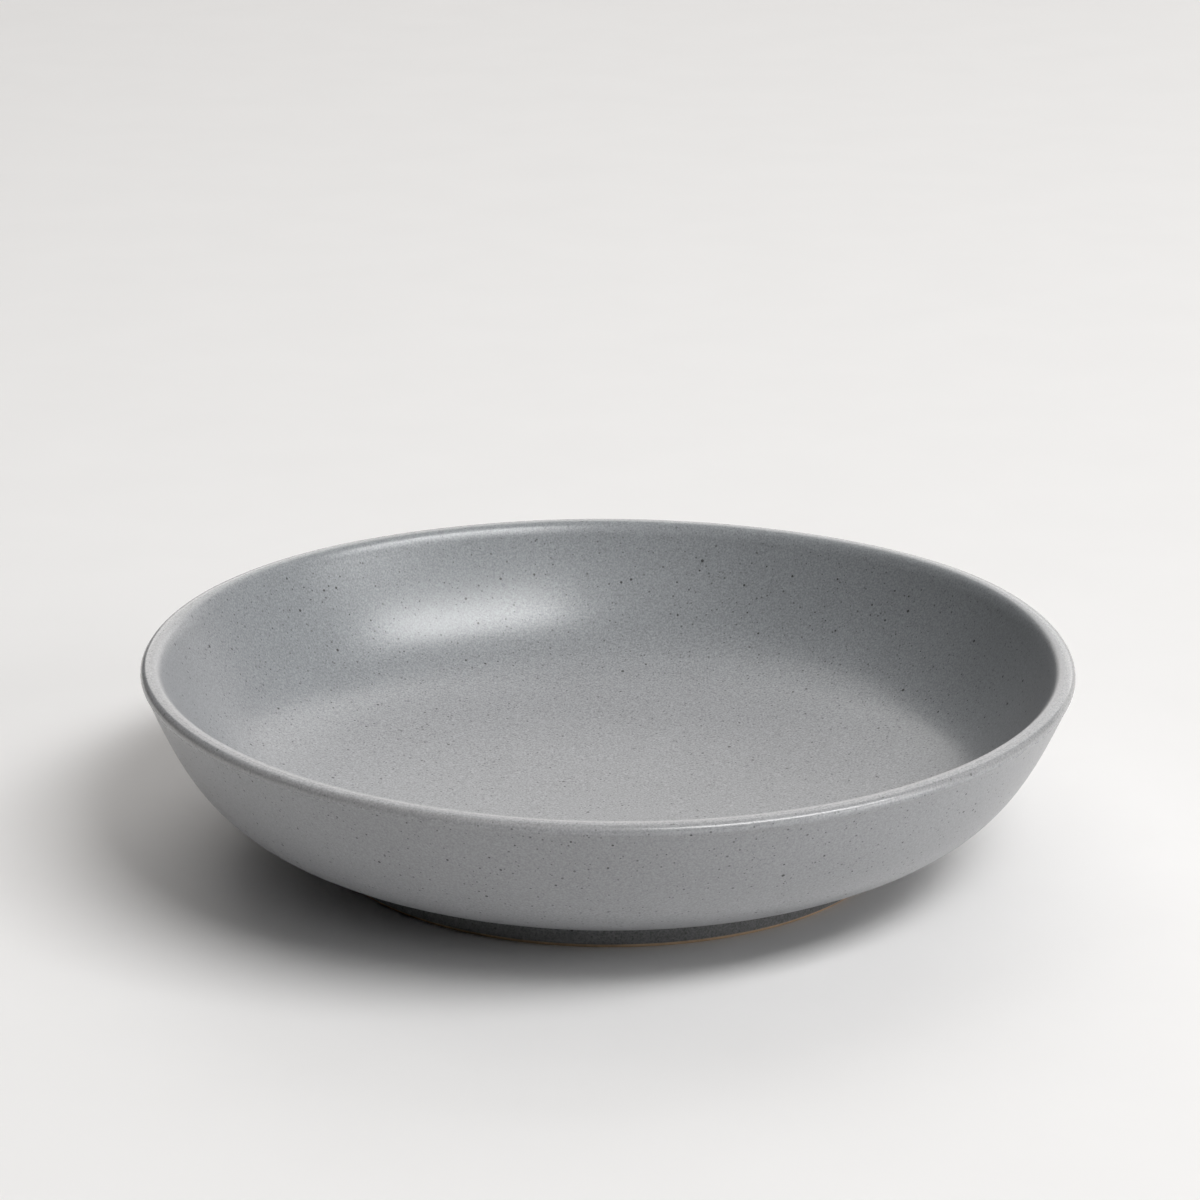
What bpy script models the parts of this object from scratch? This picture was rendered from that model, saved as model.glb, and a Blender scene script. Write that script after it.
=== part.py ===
"""Coupe soup bowl: a low, wide stoneware bowl on a foot ring, under a satin glaze.

Sizes are in metres and +Z is up. The origin is on the table, under the centre of the bowl.
Each piece is turned round the Z axis from an outline of (radius, height) points.
"""

from math import asin, cos, radians, sin

import bpy
from mathutils import Vector
from mathutils.geometry import interpolate_bezier

MM = 0.001

# The glazed bowl, as it is seen and held
RIM_RADIUS = 110 * MM
HEIGHT = 47.7 * MM
LIP_ROUND = 2 * MM
LEAN_OUTSIDE = radians(22.1)  # from upright, where the wall's outside meets the lip
LEAN_INSIDE = radians(24)
WALL_PULL_OUTSIDE = 28.3 * MM  # a pull says how far the curve keeps to its end's direction
WALL_PULL_INSIDE = 22 * MM

# The inside floor, a shallow dish, and the turn where the wall leaves it
FLOOR_HEIGHT = 9.2 * MM
FLOOR_RADIUS = 79 * MM
FLOOR_RISE = 5.6 * MM
TURN_SLOPE = radians(16)
TURN_PULL = 9 * MM

# The underside and the foot
UNDERSIDE_SLOPE = radians(19.9)
UNDERSIDE_PULL = 26.5 * MM
FOOT_RADIUS = 67 * MM
FOOT_WIDTH = 7 * MM
FOOT_HEIGHT = 3.7 * MM
FOOT_FILLET = 1.2 * MM
FOOT_EDGE_ROUND = 0.6 * MM
FOOT_CHAMFER = 0.8 * MM  # on the inner edge that rests on the table
FOOT_DRAFT = 0.5 * MM
WELL_DEPTH = 2.1 * MM

# The glaze, and the seam that keeps two pieces apart
GLAZE = 0.5 * MM
GLAZE_LINE = 1.1 * MM  # the foot's outer wall is bare clay below this height
GLAZE_EDGE = 0.2 * MM
SEAM = 0.3 * MM

FACETS = 72
FLOOR_STEPS = 4
WALL_STEPS = 8
LIP_STEPS = 8
UNDERSIDE_STEPS = 10
FILLET_STEPS = 4
EDGE_STEPS = 3

COAT = GLAZE + SEAM
SEAT_HEIGHT = FOOT_HEIGHT + SEAM
FOOT_INSIDE = FOOT_RADIUS - FOOT_WIDTH
BOSS_RADIUS = FOOT_INSIDE - SEAM

OUTWARDS = Vector((1, 0))
UP = Vector((0, 1))


def heading(angle):
    """One unit along this angle: 0 points outwards and a quarter turn points up."""
    return cos(angle) * OUTWARDS + sin(angle) * UP


def arc(centre, radius, start, end, steps):
    turn = (end - start) / steps
    return [centre + radius * heading(start + turn * i) for i in range(steps + 1)]


def curve(start, leaving, start_pull, end, arriving, end_pull, steps):
    """A smooth run that leaves start in one direction and arrives at end in another."""
    handles = start + start_pull * leaving, end - end_pull * arriving
    return interpolate_bezier(start, *handles, end, steps + 1)


def inset(outline, depth):
    """The outline moved into the clay. It starts level at the axis and ends running down."""
    steps = [(after - before).normalized() for before, after in zip(outline, outline[1:])]
    corners = [(before + after).normalized() for before, after in zip(steps, steps[1:])]
    ways = [OUTWARDS, *corners, -UP]
    return [point + depth * Vector((way.y, -way.x)) for point, way in zip(outline, ways)]


def glaze_face():
    """What the hand and the eye meet, from the floor's centre over the lip to the foot's wall."""
    dish_radius = (FLOOR_RADIUS**2 + FLOOR_RISE**2) / (2 * FLOOR_RISE)
    dish_centre = (FLOOR_HEIGHT + dish_radius) * UP
    dish_turn = asin(FLOOR_RADIUS / dish_radius)
    floor = arc(dish_centre, dish_radius, radians(-90), radians(-90) + dish_turn, FLOOR_STEPS)

    lip_centre = Vector((RIM_RADIUS - LIP_ROUND, HEIGHT - LIP_ROUND))
    lip = arc(lip_centre, LIP_ROUND, radians(180) - LEAN_INSIDE, -LEAN_OUTSIDE, LIP_STEPS)

    fillet_centre = Vector((FOOT_RADIUS + COAT + FOOT_FILLET, SEAT_HEIGHT))
    fillet_start = radians(90) + UNDERSIDE_SLOPE
    fillet = arc(fillet_centre, FOOT_FILLET, fillet_start, radians(180), FILLET_STEPS)

    inside = curve(
        floor[-1], heading(TURN_SLOPE), TURN_PULL,
        lip[0], heading(radians(90) - LEAN_INSIDE), WALL_PULL_INSIDE,
        WALL_STEPS,
    )
    outside = curve(
        lip[-1], -heading(radians(90) - LEAN_OUTSIDE), WALL_PULL_OUTSIDE,
        fillet[0], -heading(UNDERSIDE_SLOPE), UNDERSIDE_PULL,
        UNDERSIDE_STEPS,
    )
    return floor + inside[1:] + lip[1:] + outside[1:] + fillet[1:]


def buried(depth):
    """A face under the glaze: its facets are twice as long, and nest in the ones above."""
    return inset(glaze_face(), depth)[::2]


def glaze_coat_outline():
    """The unbroken glaze, which ends in a soft edge just above the table."""
    wall = FOOT_RADIUS + COAT
    edge = [
        Vector((wall, GLAZE_LINE + GLAZE_EDGE)),
        Vector((wall - GLAZE_EDGE, GLAZE_LINE)),
        Vector((wall - GLAZE, GLAZE_LINE)),
    ]
    return glaze_face() + edge + buried(GLAZE)[::-1]


def bowl_body_outline():
    """The clay under the glaze, with a boss that the foot ring is set round."""
    well_face = WELL_DEPTH + COAT
    seat = [
        Vector((BOSS_RADIUS, SEAT_HEIGHT)),
        Vector((BOSS_RADIUS, well_face)),
        Vector((0, well_face)),
    ]
    return buried(COAT) + seat


def foot_ring_outline():
    """A low ring with a flat resting face, a rounded outer edge and a chamfered inner one."""
    edge_centre = Vector((FOOT_RADIUS - FOOT_EDGE_ROUND, FOOT_EDGE_ROUND))
    edge = arc(edge_centre, FOOT_EDGE_ROUND, 0, radians(-90), EDGE_STEPS)
    inner_wall = FOOT_INSIDE + FOOT_DRAFT
    return [
        Vector((FOOT_RADIUS, FOOT_HEIGHT)),
        *edge,
        Vector((inner_wall + FOOT_CHAMFER, 0)),
        Vector((inner_wall, FOOT_CHAMFER)),
        Vector((FOOT_INSIDE, FOOT_HEIGHT)),
    ]


def foot_well_glaze_outline():
    """The patch of glaze inside the foot ring, on the boss."""
    radius = BOSS_RADIUS - GLAZE
    return [
        Vector((0, WELL_DEPTH + GLAZE)),
        Vector((radius, WELL_DEPTH + GLAZE)),
        Vector((radius, WELL_DEPTH + GLAZE_EDGE)),
        Vector((radius - GLAZE_EDGE, WELL_DEPTH)),
        Vector((0, WELL_DEPTH)),
    ]


def finish(name, colour, roughness):
    material = bpy.data.materials.new(name)
    material.use_nodes = True
    shader = material.node_tree.nodes["Principled BSDF"]
    shader.inputs["Base Color"].default_value = (*colour, 1)
    shader.inputs["Roughness"].default_value = roughness
    shader.inputs["Metallic"].default_value = 0
    return material


def turned(name, outline, material, parent):
    """One piece: the outline turned right round. One that stays off the axis is a closed ring."""
    count = len(outline)
    ring = outline[0].x > 0
    edges = [(i, (i + 1) % count) for i in range(count if ring else count - 1)]
    mesh = bpy.data.meshes.new(name)
    mesh.from_pydata([(point.x, 0, point.y) for point in outline], edges, [])
    mesh.materials.append(material)
    piece = bpy.data.objects.new(name, mesh)
    bpy.context.collection.objects.link(piece)
    piece.parent = parent
    screw = piece.modifiers.new("Turning", "SCREW")
    screw.axis = "Z"
    screw.steps = screw.render_steps = FACETS
    screw.use_merge_vertices = True
    screw.merge_threshold = SEAM / 100
    screw.use_smooth_shade = True
    return piece


def build():
    for leftover in list(bpy.data.objects):
        bpy.data.objects.remove(leftover, do_unlink=True)
    bowl = bpy.data.objects.new("coupe_soup_bowl", None)
    bpy.context.collection.objects.link(bowl)

    clay = finish("stoneware", (0.52, 0.40, 0.29), 0.85)
    foot_clay = finish("bare_foot", (0.47, 0.34, 0.23), 0.9)
    glaze = finish("satin_glaze", (0.38, 0.40, 0.42), 0.42)
    well_glaze = finish("well_glaze", (0.36, 0.38, 0.40), 0.45)

    turned("bowl_body", bowl_body_outline(), clay, bowl)
    turned("foot_ring", foot_ring_outline(), foot_clay, bowl)
    turned("glaze_coat", glaze_coat_outline(), glaze, bowl)
    turned("foot_well_glaze", foot_well_glaze_outline(), well_glaze, bowl)


build()
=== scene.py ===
from math import asin, cos, degrees, pi, radians, sin

import bpy
from mathutils import Matrix, Vector
from mathutils.geometry import interpolate_bezier


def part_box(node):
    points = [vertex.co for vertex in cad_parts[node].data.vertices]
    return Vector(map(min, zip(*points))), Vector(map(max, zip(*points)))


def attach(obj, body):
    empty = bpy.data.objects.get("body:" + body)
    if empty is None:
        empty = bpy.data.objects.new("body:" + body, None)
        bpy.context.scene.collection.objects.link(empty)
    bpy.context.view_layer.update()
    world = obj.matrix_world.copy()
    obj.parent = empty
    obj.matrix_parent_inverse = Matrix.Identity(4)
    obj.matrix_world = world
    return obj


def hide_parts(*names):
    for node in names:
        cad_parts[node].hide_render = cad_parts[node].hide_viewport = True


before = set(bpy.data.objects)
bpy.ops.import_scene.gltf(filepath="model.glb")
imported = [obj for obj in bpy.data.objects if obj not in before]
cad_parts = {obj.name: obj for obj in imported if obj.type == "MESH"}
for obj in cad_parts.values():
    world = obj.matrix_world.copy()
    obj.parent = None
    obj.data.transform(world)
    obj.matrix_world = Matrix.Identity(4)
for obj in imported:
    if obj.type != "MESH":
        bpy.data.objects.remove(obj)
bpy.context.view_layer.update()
print("frame loaded:", ", ".join(sorted(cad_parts)))

mm = 0.001
turnSteps = 256  # flats round the bowl
mergeGap = 0.002 * mm
contactGap = 0.05 * mm  # between the glaze and the clay that it lies on
smoothUnder = 40  # faces that meet at less than this angle are shaded as one

# Sizes that the frame already holds
coatLow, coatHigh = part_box("glaze_coat")
bodyLow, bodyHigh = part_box("bowl_body")
footLow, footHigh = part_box("foot_ring")
wellLow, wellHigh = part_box("foot_well_glaze")
clayDepth = coatHigh.z - bodyHigh.z  # from the glaze's face down to the clay
seam = clayDepth - (wellHigh.z - wellLow.z)
seatHeight = footHigh.z + seam
bossRadius = wellHigh.x + clayDepth - seam


# Outlines stand in the XZ plane, and a turn round Z makes the piece

def heading(angle):  # in degrees: 0 points away from the axis, 90 points up
    return Vector((cos(radians(angle)), 0, sin(radians(angle))))


def spot(outwards, up):
    return Vector((outwards, 0, up))


def arcPoints(centre, radius, start, end, steps):
    turn = (end - start) / steps
    return [centre + radius * heading(start + turn * i) for i in range(steps + 1)]


def curvePoints(start, leaving, startPull, end, arriving, endPull, steps):
    handles = start + startPull * heading(leaving), end - endPull * heading(arriving)
    return interpolate_bezier(start, *handles, end, steps + 1)


def insetPoints(points, depth):  # into the clay, from a level start to an end that runs down
    runs = [(after - before).normalized() for before, after in zip(points, points[1:])]
    corners = [(before + after).normalized() for before, after in zip(runs, runs[1:])]
    ways = [heading(0), *corners, heading(-90)]
    return [point + depth * spot(way.z, -way.x) for point, way in zip(points, ways)]


# Hand tools

def selectWhere(piece, wanted):  # leaves the piece in edit mode with those points picked
    bpy.ops.object.mode_set(mode="EDIT")
    bpy.ops.mesh.select_mode(type="VERT")
    bpy.ops.mesh.select_all(action="DESELECT")
    bpy.ops.object.mode_set(mode="OBJECT")
    for vertex in piece.data.vertices:
        vertex.select = wanted(vertex.co)
    bpy.ops.object.mode_set(mode="EDIT")


def turnPiece(name, points, closed=False):
    bpy.ops.object.select_all(action="DESELECT")
    bpy.ops.mesh.primitive_plane_add(size=mm)
    piece = bpy.context.object
    piece.name = piece.data.name = name
    bpy.ops.object.mode_set(mode="EDIT")
    bpy.ops.mesh.merge(type="CENTER")  # the plane shrinks to one point, which draws the outline
    bpy.ops.transform.translate(value=points[0])
    for before, after in zip(points, points[1:]):
        bpy.ops.mesh.extrude_region_move(TRANSFORM_OT_translate={"value": after - before})
    if closed:
        ends = points[0], points[-1]
        selectWhere(piece, lambda place: min((place - end).length for end in ends) < mergeGap)
        bpy.ops.mesh.edge_face_add()
    bpy.ops.mesh.select_all(action="SELECT")
    bpy.ops.mesh.spin(steps=turnSteps, angle=2 * pi, center=(0, 0, 0), axis=(0, 0, 1))
    bpy.ops.mesh.select_all(action="SELECT")
    bpy.ops.mesh.remove_doubles(threshold=mergeGap)
    bpy.ops.mesh.normals_make_consistent(inside=False)
    bpy.ops.object.mode_set(mode="OBJECT")
    return piece


def shapeWith(piece, kind, **settings):
    modifier = piece.modifiers.new(kind.title(), kind)
    for name, value in settings.items():
        setattr(modifier, name, value)
    bpy.context.view_layer.objects.active = piece
    bpy.ops.object.modifier_apply(modifier=modifier.name)


def roundOff(piece, wanted, width, segments):
    selectWhere(piece, wanted)
    bpy.ops.mesh.bevel(offset=width, segments=segments, affect="EDGES", clamp_overlap=True)
    bpy.ops.object.mode_set(mode="OBJECT")


def settle(piece, node, finish):
    bpy.ops.object.select_all(action="DESELECT")
    piece.select_set(True)
    bpy.context.view_layer.objects.active = piece
    bpy.ops.object.shade_smooth_by_angle(angle=radians(smoothUnder))
    piece.data.materials.clear()
    piece.data.materials.append(finish)
    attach(piece, "root")
    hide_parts(node)
    print("made", piece.name, "with", len(piece.data.polygons), "faces")


# Shader maths as plain expressions

class Wire:
    def __init__(self, tree, socket=None):
        self.tree = tree
        self.socket = socket

    def node(self, kind, settings, feeds, out=0):
        made = self.tree.nodes.new(kind)
        for name, value in settings.items():
            setattr(made, name, value)
        for name, value in feeds.items():
            if isinstance(value, Wire):
                self.tree.links.new(value.socket, made.inputs[name])
            else:
                made.inputs[name].default_value = value
        return Wire(self.tree, made.outputs[out])

    def maths(self, operation, *values):
        return self.node("ShaderNodeMath", {"operation": operation}, dict(enumerate(values)))

    def __add__(self, other):
        return self.maths("ADD", self, other)

    def __sub__(self, other):
        return self.maths("SUBTRACT", self, other)

    def __rsub__(self, other):
        return self.maths("SUBTRACT", other, self)

    def __mul__(self, other):
        return self.maths("MULTIPLY", self, other)

    def __truediv__(self, other):
        return self.maths("DIVIDE", self, other)

    def __pow__(self, other):
        return self.maths("POWER", self, other)

    __radd__ = __add__
    __rmul__ = __mul__

    def fade(self, nothing, full):  # 0 at the first value, 1 at the second, soft between
        return self.node("ShaderNodeMapRange", {"interpolation_type": "SMOOTHSTEP"},
                         {"Value": self, "From Min": nothing, "From Max": full})

    def noise(self, size, detail=2.0, rough=0.5, warp=0.0):  # size is a patch's width in metres
        return self.node("ShaderNodeTexNoise", {}, {"Vector": self, "Scale": 1 / size, "Detail": detail,
                                                    "Roughness": rough, "Distortion": warp})

    def shade(self, amount):  # a colour made lighter or darker by a value
        return self.node("ShaderNodeMix", {"data_type": "RGBA", "blend_type": "MULTIPLY"},
                         {0: 1.0, 6: self, 7: amount}, out=2)

    def tint(self, first, second):  # this value says how much of the second colour shows
        return self.node("ShaderNodeMix", {"data_type": "RGBA"}, {0: self, 6: first, 7: second}, out=2)


noiseMiddle = 0.5  # noise swings evenly about this value


def newFinish(name):
    finish = bpy.data.materials.new(name)
    finish.use_nodes = True
    tree = finish.node_tree
    place = Wire(tree).node("ShaderNodeTexCoord", {}, {}, out="Object")
    return finish, tree.nodes["Principled BSDF"], place


def fromAxis(place, bearing=0):  # distance from the axis, height, and 1 at that bearing to -1 opposite
    x, y, height = (place.node("ShaderNodeSeparateXYZ", {}, {0: place}, out=axis) for axis in "XYZ")
    radius = (x ** 2 + y ** 2) ** 0.5
    return radius, height, (x * cos(radians(bearing)) + y * sin(radians(bearing))) / radius


def feed(shader, **looks):
    for name, value in looks.items():
        socket = shader.inputs[name.replace("_", " ")]
        if isinstance(value, Wire):
            value.tree.links.new(value.socket, socket)
        else:
            socket.default_value = value


def bump(place, height, depth):  # depth in metres from the lowest to the highest
    return place.node("ShaderNodeBump", {}, {"Height": height, "Distance": depth, "Strength": 1.0},
                      out="Normal")


# Satin glaze: blue-grey, bluer at the back of the inner wall, warmer on the lip, darkened towards the foot
# by painted shade, with grain and specks

glazeLook = {
    "grey": (0.306, 0.312, 0.324, 1),
    "blue": (0.273, 0.287, 0.299, 1),
    "lipWarm": (0.330, 0.330, 0.332, 1),
    # painted shade: the glaze turns darker towards the foot, where the bowl's underside shades it; partly
    # painted shade, partly a darker glaze there
    "paintedShadeColour": (0.172, 0.173, 0.175, 1),
    "blueFrom": 62 * mm,  # from the axis
    "blueFull": 98 * mm,
    "blueBearing": 80,  # the inner wall is bluer and a little darker on this side
    "blueEdge": -0.15,
    "blueDeep": 0.5,
    "lipFrom": 43.5 * mm,  # heights
    "lipFull": 46.5 * mm,
    "footFrom": 6 * mm,
    "footFull": 3.6 * mm,
    "cloudSize": 26 * mm,
    "mottleSize": 2.4 * mm,
    "grainSize": 0.46 * mm,
    "grainWarp": 0.4,
    "clouds": 0.10,  # each as a share of the tone
    "mottle": 0.10,
    "grainFloor": 1.6,
    "grainWall": 1.05,
    "grainOutside": 0.75,
    "mottleSpared": 0.5,  # how much fainter the mottle is outside
    "specksSpared": 0.5,  # how much fainter the specks are on the lip
    "roughness": 0.30,
    "mottleRoughness": 0.10,
    "speckRoughness": 0.10,
    "lipRoughness": 0.18,
    "lipGlossFrom": 107 * mm,  # from the axis
    "lipGlossFull": 109 * mm,
    "gloss": 1.62,  # index of refraction
    "peelDepth": 0.004 * mm,
    "mottleRelief": 0.5,  # against the grain's relief
    "speckPit": 0.7,
}
# The wall's middle line, which tells its inside from its outside
wallLine = {"radius": 94 * mm, "height": 15 * mm, "lean": 0.47, "inner": -0.5 * mm, "outer": 1.5 * mm}
ironSpecks = {"cell": 2.9 * mm, "share": 0.46, "least": 0.23 * mm, "most": 0.46 * mm, "dark": 0.95}
faintSpecks = {"cell": 1.4 * mm, "share": 0.75, "least": 0.17 * mm, "most": 0.32 * mm, "dark": 0.65}
speckColour = (0.028, 0.028, 0.030, 1)
speckFringe = 1.08  # a speck fades from its core to here, as shares of its radius
speckCore = 0.7


def speckMask(place, specks):  # at most one speck in each cell, whose chance and size the cell draws
    cells = {"Vector": place, "Scale": 1 / specks["cell"]}
    away = place.node("ShaderNodeTexVoronoi", {}, cells, out="Distance")
    draw = place.node("ShaderNodeTexVoronoi", {}, cells, out="Color")
    chance, size = (draw.node("ShaderNodeSeparateColor", {}, {0: draw}, out=part)
                    for part in ("Red", "Green"))
    reach = specks["least"] + (specks["most"] - specks["least"]) * size ** 2
    inside = (away * specks["cell"] / reach).fade(speckFringe, speckCore)
    return inside * chance.maths("LESS_THAN", chance, specks["share"]) * specks["dark"]


def satinGlaze(name, look):
    finish, shader, place = newFinish(name)
    radius, height, facing = fromAxis(place, look["blueBearing"])
    clouds = place.noise(look["cloudSize"])
    mottle = place.noise(look["mottleSize"])
    grain = place.noise(look["grainSize"], detail=1, warp=look["grainWarp"])

    # Where this is on the bowl
    wallMiddle = wallLine["radius"] + (height - wallLine["height"]) * wallLine["lean"]
    outside = (radius - wallMiddle).fade(wallLine["inner"], wallLine["outer"])
    upTheWall = radius.fade(look["blueFrom"], look["blueFull"])
    onLip = height.fade(look["lipFrom"], look["lipFull"])
    # painted shade: 1 at the foot, fading out up the outer wall
    paintedShadeNearFoot = height.fade(look["footFrom"], look["footFull"])
    bluer = upTheWall * (1 - outside) * facing.fade(look["blueEdge"], look["blueDeep"])

    colour = bluer.tint(look["grey"], look["blue"])
    colour = (onLip * outside).tint(colour, look["lipWarm"])
    # painted shade darkens the glaze towards the foot
    colour = paintedShadeNearFoot.tint(colour, look["paintedShadeColour"])

    grainInside = look["grainFloor"] + (look["grainWall"] - look["grainFloor"]) * upTheWall
    grainShare = grainInside + (look["grainOutside"] - grainInside) * outside
    mottleShare = look["mottle"] * (1 - look["mottleSpared"] * outside)
    swing = (grain - noiseMiddle) * grainShare + (mottle - noiseMiddle) * mottleShare
    colour = colour.shade(1 + swing + (clouds - noiseMiddle) * look["clouds"])
    iron = speckMask(place, ironSpecks)
    faint = speckMask(place, faintSpecks)
    specks = iron.maths("MAXIMUM", iron, faint) * (1 - look["specksSpared"] * onLip)
    colour = specks.tint(colour, speckColour)

    outerLip = onLip * radius.fade(look["lipGlossFrom"], look["lipGlossFull"])
    roughness = look["roughness"] + (look["lipRoughness"] - look["roughness"]) * outerLip
    roughness = roughness + look["mottleRoughness"] * (mottle - noiseMiddle)
    roughness = roughness + look["speckRoughness"] * specks
    relief = grain + look["mottleRelief"] * mottle - look["speckPit"] * specks
    feed(shader, Base_Color=colour, Roughness=roughness, IOR=look["gloss"],
         Normal=bump(place, relief, look["peelDepth"]))
    return finish


# Bare fired clay: sandy tan, with the marks of turning

clayLook = {
    "tan": (0.68, 0.50, 0.33, 1),
    "dark": (0.50, 0.355, 0.225, 1),
    "sandSize": 0.7 * mm,
    "sandRough": 0.6,
    "patchSize": 9 * mm,
    "patchRough": 0.55,
    "detail": 3,
    "ringWidth": 0.8 * mm,
    "ringWander": 6,  # how far the patches push the rings about, in radians
    "patches": 0.7,  # each as a share of the tone
    "sand": 0.6,
    "rings": 0.05,
    "darkBelow": 0.35,
    "tanAbove": 0.95,
    "roughness": 0.86,
    "sandDepth": 0.05 * mm,
    "ringRelief": 0.3,  # against the sand's relief
}


def bareClay(name, look):
    finish, shader, place = newFinish(name)
    radius = fromAxis(place)[0]
    sand = place.noise(look["sandSize"], look["detail"], look["sandRough"])
    patch = place.noise(look["patchSize"], look["detail"], look["patchRough"])
    turning = radius * (2 * pi / look["ringWidth"]) + patch * look["ringWander"]
    rings = turning.maths("SINE", turning)
    tone = patch * look["patches"] + sand * look["sand"] + rings * look["rings"]
    colour = tone.fade(look["darkBelow"], look["tanAbove"]).tint(look["dark"], look["tan"])
    relief = sand + look["ringRelief"] * rings
    feed(shader, Base_Color=colour, Roughness=look["roughness"],
         Normal=bump(place, relief, look["sandDepth"]))
    return finish


# The bowl's face, from the floor's centre over the lip and down to the foot's wall

bowlShape = {
    # The lip's rounds from the inner wall outwards, each with the angle it ends at; the last one is hollow
    "lipRounds": [(12 * mm, 145), (4 * mm, 125), (1.4 * mm, 98), (5.5 * mm, 78),
                  (1.8 * mm, -40.1), (-1.2 * mm, -22.1)],
    "leanInside": 24,  # from upright, where the wall meets the lip
    "leanOutside": 22.1,
    "pullInside": 21 * mm,  # a pull says how far the curve keeps to its end's direction
    "pullOutside": 27 * mm,
    "floorHeight": 9.2 * mm,
    "floorRadius": 79 * mm,
    "floorRise": 5.6 * mm,
    "turnSlope": 16,
    "turnPull": 9 * mm,
    "undersideSlope": 19.9,
    "undersidePull": 26.5 * mm,
    "footFillet": 1.2 * mm,
    "easeMiddle": 82 * mm,  # the turn from floor to wall is eased about this radius
    "easeReach": 24 * mm,
    "easeRounds": 110,
    "floorSteps": 40,
    "wallSteps": 36,
    "lipSteps": 12,
    "filletSteps": 6,
    "footSteps": 3,
}


def lipPoints(shape):  # set against the rim's outermost and highest places
    points = [spot(0, 0)]
    start = 180 - shape["leanInside"]
    for radius, end in shape["lipRounds"]:
        centre = points[-1] - radius * heading(start)
        points += arcPoints(centre, radius, start, end, shape["lipSteps"])[1:]
        start = end
    farthest = max(point.x for point in points)
    highest = max(point.z for point in points)
    shift = spot(coatHigh.x - farthest, coatHigh.z - highest)
    return [point + shift for point in points]


def easedPoints(points, middle, reach, rounds):  # the bend near that radius is rubbed softer
    for _ in range(rounds):
        inner = []
        for before, point, after in zip(points, points[1:], points[2:]):
            share = max(1 - ((point.x - middle) / reach) ** 2, 0) ** 2
            inner.append(point + share * (before - 2 * point + after) / 4)
        points = [points[0], *inner, points[-1]]
    return points


def bowlFace(shape):
    dish = (shape["floorRadius"] ** 2 + shape["floorRise"] ** 2) / (2 * shape["floorRise"])
    dishTurn = degrees(asin(shape["floorRadius"] / dish))
    dishCentre = spot(0, shape["floorHeight"] + dish)
    dished = arcPoints(dishCentre, dish, -90, dishTurn - 90, shape["floorSteps"])
    lip = lipPoints(shape)
    filletCentre = spot(footHigh.x + clayDepth + shape["footFillet"], seatHeight)
    fillet = arcPoints(filletCentre, shape["footFillet"],
                       90 + shape["undersideSlope"], 180, shape["filletSteps"])
    inside = curvePoints(dished[-1], shape["turnSlope"], shape["turnPull"],
                         lip[0], 90 - shape["leanInside"], shape["pullInside"],
                         shape["wallSteps"])
    outside = curvePoints(lip[-1], -90 - shape["leanOutside"], shape["pullOutside"],
                          fillet[0], 180 + shape["undersideSlope"], shape["undersidePull"],
                          shape["wallSteps"])
    hollow = easedPoints(dished + inside[1:],
                         shape["easeMiddle"], shape["easeReach"], shape["easeRounds"])
    return hollow + lip[1:] + outside[1:] + fillet[1:]


face = bowlFace(bowlShape)

# The kiln has let the rim dip in front and pushed it a little out of round behind.
# A bearing is counted from +X, and a warp dies away within its reach on either side.
rimWarps = [
    {"bearing": 285, "reach": 95, "move": (0, 0, -1.97 * mm)},
    {"bearing": 39, "reach": 36, "move": (1.1 * mm, 0.9 * mm, 0)},
    {"bearing": 141, "reach": 36, "move": (-0.6 * mm, 0.5 * mm, 0)},
]
stillBelow = 8 * mm


def warpRim(piece):
    for warp in rimWarps:
        held = piece.vertex_groups.new(name="held")
        middle = heading(warp["bearing"]).xz
        for vertex in piece.data.vertices:
            share = min(max((vertex.co.z - stillBelow) / (coatHigh.z - stillBelow), 0), 1)
            turn = degrees(vertex.co.xy.angle(middle, 0))
            falloff = (1 + cos(pi * min(turn / warp["reach"], 1))) / 2
            held.add([vertex.index], share * falloff, "REPLACE")
        for axis, amount in zip("XYZ", warp["move"]):
            if amount:
                shapeWith(piece, "DISPLACE", direction=axis, vertex_group="held",
                          strength=amount, mid_level=0.0)
        piece.vertex_groups.clear()


# Glaze skin: the face, very slightly uneven as a dipped coat is, given its thickness towards the clay
skinDetail = {"uneven": 0.12 * mm, "unevenSize": 28 * mm, "edgeRound": 0.25 * mm, "edgeSegments": 4,
              "edgeHeight": 0.1 * mm, "edgeOut": 0.5 * mm}


def onLowerEdge(place):  # the outer of the skin's two lower edges, just above the table
    low = place.z < coatLow.z + skinDetail["edgeHeight"]
    return low and place.xy.length > footHigh.x + skinDetail["edgeOut"]


footWall = [spot(face[-1].x, face[-1].z + (coatLow.z - face[-1].z) * i / bowlShape["footSteps"])
            for i in range(1, bowlShape["footSteps"] + 1)]
glazeSkin = turnPiece("glaze_skin", face + footWall)
ripple = bpy.data.textures.new("dipping", "CLOUDS")
ripple.noise_scale = skinDetail["unevenSize"]
ripple.noise_depth = 1
shapeWith(glazeSkin, "DISPLACE", texture=ripple, strength=skinDetail["uneven"], mid_level=1.0)
shapeWith(glazeSkin, "SOLIDIFY", thickness=clayDepth - contactGap - skinDetail["uneven"], offset=-1)
roundOff(glazeSkin, onLowerEdge, skinDetail["edgeRound"], skinDetail["edgeSegments"])
warpRim(glazeSkin)
settle(glazeSkin, "glaze_coat", satinGlaze("satin glaze", glazeLook))

# Clay body under the glaze, with the boss that the foot ring is set round
bodyOutline = insetPoints(face, clayDepth) + [
    spot(bossRadius, seatHeight), spot(bossRadius, bodyLow.z), spot(0, bodyLow.z)]
clayBody = turnPiece("clay_body", bodyOutline)
warpRim(clayBody)
settle(clayBody, "bowl_body", bareClay("stoneware", clayLook))

# Foot ring: flat where it rests, rounded outside, chamfered inside
footDetail = {"width": 7 * mm, "edgeRound": 0.6 * mm, "edgeSteps": 8, "chamfer": 0.8 * mm,
              "draft": 0.5 * mm}

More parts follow.
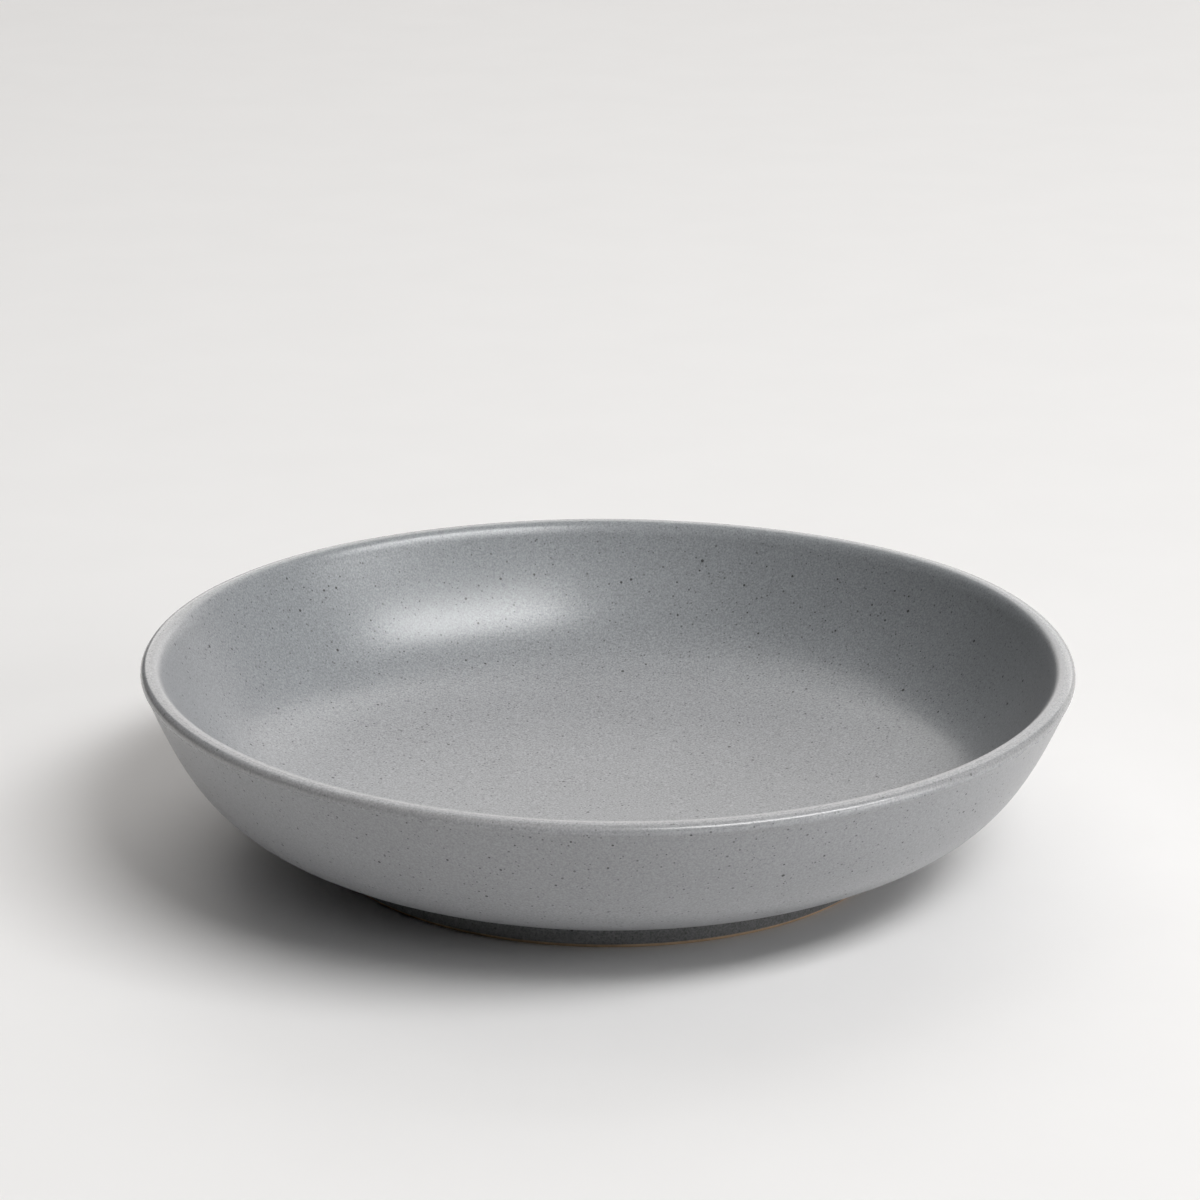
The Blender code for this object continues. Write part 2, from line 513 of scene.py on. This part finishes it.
footInside = footHigh.x - footDetail["width"]
footEdge = arcPoints(spot(footHigh.x - footDetail["edgeRound"], footDetail["edgeRound"]),
                     footDetail["edgeRound"], 0, -90, footDetail["edgeSteps"])
innerWall = footInside + footDetail["draft"]
footOutline = [spot(footHigh.x, footHigh.z), *footEdge, spot(innerWall + footDetail["chamfer"], 0),
               spot(innerWall, footDetail["chamfer"]), spot(footInside, footHigh.z)]
footRing = turnPiece("clay_foot_ring", footOutline, closed=True)
settle(footRing, "foot_ring", bareClay("bare foot", clayLook))

# Glaze in the foot's well, without the painted shade that darkens the glaze near the foot
wellDetail = {"edge": 0.2 * mm, "look": {**glazeLook, "paintedShadeColour": glazeLook["grey"]}}

wellOutline = [spot(0, wellHigh.z), spot(wellHigh.x, wellHigh.z),
               spot(wellHigh.x, wellLow.z + wellDetail["edge"]),
               spot(wellHigh.x - wellDetail["edge"], wellLow.z), spot(0, wellLow.z)]
wellGlaze = turnPiece("well_glaze_patch", wellOutline)
settle(wellGlaze, "foot_well_glaze", satinGlaze("well glaze", wellDetail["look"]))

# Pale floor

floorLook = {"size": 14.0, "pale": (0.86, 0.854, 0.849, 1), "shade": (0.83, 0.824, 0.819, 1),
             "patch": 40 * mm, "detail": 4, "roughness": 0.9}

bpy.ops.object.select_all(action="DESELECT")
bpy.ops.mesh.primitive_plane_add(size=floorLook["size"], location=(0, 0, -contactGap))
floor = bpy.context.object
floor.name = "floor"
paper, paperShader, paperPlace = newFinish("pale paper")
paperPatch = paperPlace.noise(floorLook["patch"], floorLook["detail"])
feed(paperShader, Base_Color=paperPatch.tint(floorLook["shade"], floorLook["pale"]),
     Roughness=floorLook["roughness"])
floor.data.materials.append(paper)
print("floor laid")

# Soft studio light: azimuth 0 is behind the bowl, 90 to its right, 180 at the camera

plain = (1, 1, 1)
warm = (1.0, 0.975, 0.95)
lightPlan = {
    "key panel": {"azimuth": 145, "elevation": 55, "away": 3.0, "slide": 0.76,
                  "width": 2.5, "height": 0.94, "power": 75, "colour": plain},
    "low right": {"azimuth": 112, "elevation": 16,
                  "width": 3.4, "height": 2.6, "power": 102, "colour": plain},
    "front": {"azimuth": 185, "elevation": 48,
              "width": 5.0, "height": 2.4, "power": 28, "colour": plain},
    "high left": {"azimuth": 300, "elevation": 60,
                  "width": 4.0, "height": 2.6, "power": 6, "colour": warm},
    "back wide": {"azimuth": 6, "elevation": 30,
                  "width": 6.0, "height": 4.0, "power": 116, "colour": warm},
    "back low": {"azimuth": 15, "elevation": 9,
                 "width": 7.0, "height": 1.7, "power": 36, "colour": warm},
    "back high": {"azimuth": 350, "elevation": 58,
                  "width": 6.0, "height": 3.0, "power": 50, "colour": warm},
    "overhead": {"azimuth": 0, "elevation": 89.9,
                 "width": 6.0, "height": 4.0, "power": 40, "colour": warm},
}


def addSoftbox(name, azimuth, elevation, width, height, power, colour, away=6.0, slide=0.0):
    flat = radians(azimuth)
    up = radians(elevation)
    place = away * Vector((cos(up) * sin(flat), cos(up) * cos(flat), sin(up)))
    along = slide * Vector((-cos(flat), sin(flat), 0))  # it slides along its own width, towards the back
    bpy.ops.object.light_add(type="AREA", location=place + along,
                             rotation=(-place).to_track_quat("-Z", "Y").to_euler())
    light = bpy.context.object
    light.name = name
    light.data.shape = "RECTANGLE"
    light.data.size = width
    light.data.size_y = height
    light.data.energy = power
    light.data.color = colour


for lightName, plan in lightPlan.items():
    addSoftbox(lightName, **plan)

roomLook = {"fill": (0.0, 0.0, 0.0, 1), "seen": (0.80, 0.795, 0.79, 1)}

room = bpy.data.worlds.new("studio")
room.use_nodes = True
bpy.context.scene.world = room
roomTree = room.node_tree
looking = Wire(roomTree).node("ShaderNodeLightPath", {}, {}, out="Is Camera Ray")
feed(roomTree.nodes["Background"], Color=looking.tint(roomLook["fill"], roomLook["seen"]))
bpy.context.scene.view_settings.view_transform = "Standard"
print("lights set:", ", ".join(lightPlan))

# Camera at the photograph's angle

cameraView = {"lens": 120, "sensor": 36, "away": 961.9 * mm, "elevation": 21.358,
              "pitch": 17.940, "yaw": -0.123, "roll": 0.204, "nearest": 10 * mm}

rise = radians(cameraView["elevation"])
stand = cameraView["away"] * Vector((0, -cos(rise), sin(rise)))
aim = (Matrix.Rotation(radians(-cameraView["yaw"]), 4, "Z")
       @ Matrix.Rotation(radians(90 - cameraView["pitch"]), 4, "X")
       @ Matrix.Rotation(radians(cameraView["roll"]), 4, "Z"))
bpy.ops.object.camera_add(location=stand, rotation=aim.to_euler())
camera = bpy.context.object
camera.data.lens = cameraView["lens"]
camera.data.sensor_width = cameraView["sensor"]
camera.data.clip_start = cameraView["nearest"]
bpy.context.scene.camera = camera
print("camera set")
